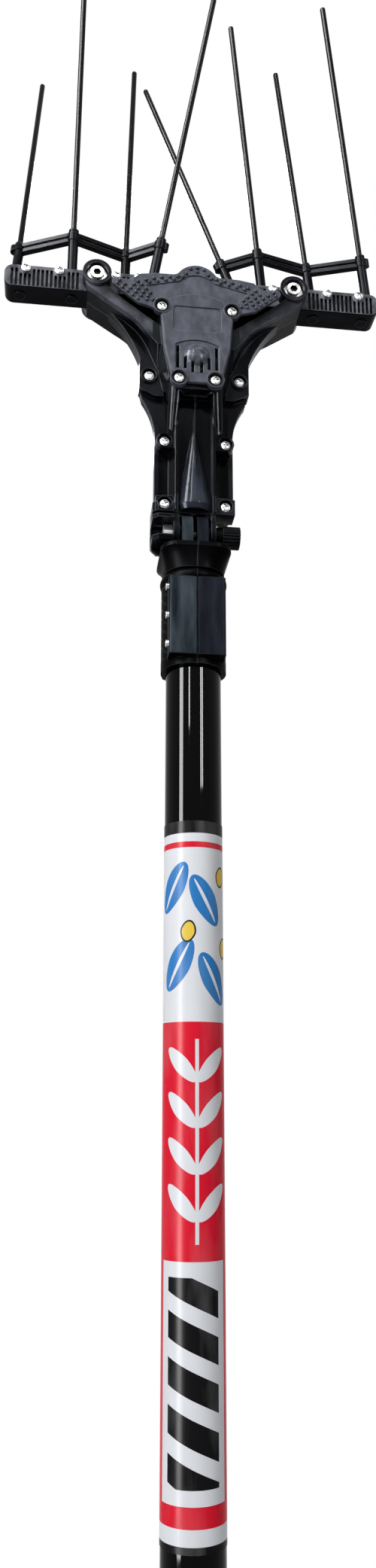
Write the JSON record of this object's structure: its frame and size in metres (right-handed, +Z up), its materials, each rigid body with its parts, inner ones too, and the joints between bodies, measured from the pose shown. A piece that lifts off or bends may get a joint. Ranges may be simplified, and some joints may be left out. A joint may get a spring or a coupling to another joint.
{
  "type": "electric olive harvester",
  "caption": "Pole-mounted electric olive shaker: long grip pole, tilting Y-shaped head with a crank drive and swinging combs of long tines.",
  "frame": {"origin": "on the pole's axis at the middle of the hand grip", "axes": "+Z up the pole towards the combs, front of the head faces -Y, +X to the right seen from the front"},
  "size_m": [0.3, 0.1082, 2.0406],
  "materials": {
    "tube_black": "gloss black anodised",
    "printed_film": "satin printed film",
    "grip_rubber": "matte",
    "black_plastic": "moulded, satin",
    "grey_plastic": "moulded, matte",
    "red_plastic": "moulded, gloss",
    "tine_black": "smooth rod, satin",
    "steel": "satin",
    "bright_steel": "bright zinc",
    "contact_brass": "satin"
  },
  "bodies": {
    "pole": {"pole_tube": "tube_black", "label_sleeve": "printed_film", "hand_grip": "grip_rubber", "switch_housing": "black_plastic", "rocker_pin": "steel", "end_cap": "black_plastic", "power_inlet": "black_plastic", "inlet_contacts": "contact_brass", "clamp_half_left": "black_plastic", "clamp_half_right": "black_plastic", "clamp_screws": "bright_steel", "friction_washers": "black_plastic"},
    "head": {"head_shell_front": "black_plastic", "head_shell_rear": "black_plastic", "shell_screws": "steel", "front_cover": "grey_plastic", "cover_screws": "steel", "pivot_bolts": "bright_steel", "pivot_nuts": "bright_steel", "motor": "steel", "motor_plate": "steel", "bearing_plate": "steel", "crank_bush": "contact_brass", "hinge_bolt": "bright_steel"},
    "knob": {"tilt_knob": "black_plastic"},
    "rocker": {"switch_rocker": "red_plastic"},
    "left_comb": {"left_comb_bar": "black_plastic", "left_tine_carrier": "black_plastic", "left_tines": "tine_black", "left_bar_screws": "bright_steel", "left_pivot_bush": "contact_brass", "left_drive_lever": "steel", "left_lever_rivets": "steel"},
    "right_comb": {"right_comb_bar": "black_plastic", "right_tine_carrier": "black_plastic", "right_tines": "tine_black", "right_bar_screws": "bright_steel", "right_pivot_bush": "contact_brass", "right_drive_lever": "steel", "right_lever_rivets": "steel"},
    "crank": {"crank_gear": "steel", "crank_roller": "steel"},
    "rotor": {"motor_pinion": "steel"}
  },
  "joints": [
    {"name": "head_tilt", "type": "hinge", "parent": "pole", "child": "head", "pos_m": [0, 0, 1.363], "axis": [1, 0, 0], "range_deg": [-60, 60]},
    {"name": "knob_turn", "type": "hinge", "parent": "head", "child": "knob", "pos_m": [0.0284, 0, 1.363], "axis": [1, 0, 0], "continuous": true},
    {"name": "switch_tip", "type": "hinge", "parent": "pole", "child": "rocker", "pos_m": [0, -0.037, 0.205], "axis": [1, 0, 0], "range_deg": [-8, 8]},
    {"name": "left_comb_swing", "type": "hinge", "parent": "head", "child": "left_comb", "pos_m": [-0.078, 0, 1.575], "axis": [0, -1, 0], "range_deg": [-5, 5]},
    {"name": "right_comb_swing", "type": "hinge", "parent": "head", "child": "right_comb", "pos_m": [0.078, 0, 1.575], "axis": [0, -1, 0], "range_deg": [-5.05, 5.05]},
    {"name": "crank_turn", "type": "hinge", "parent": "head", "child": "crank", "pos_m": [0, 0, 1.531], "axis": [0, -1, 0], "range_deg": [-90.5, 90.5]},
    {"name": "pinion_turn", "type": "hinge", "parent": "head", "child": "rotor", "pos_m": [0, 0, 1.502], "axis": [0, -1, 0], "range_deg": [-240, 240]}
  ],
  "couplings": [
    {"joint": "right_comb_swing", "follows": "left_comb_swing", "ratio": -1},
    {"joint": "crank_turn", "follows": "left_comb_swing", "ratio": 18},
    {"joint": "pinion_turn", "follows": "left_comb_swing", "ratio": -47.25}
  ]
}
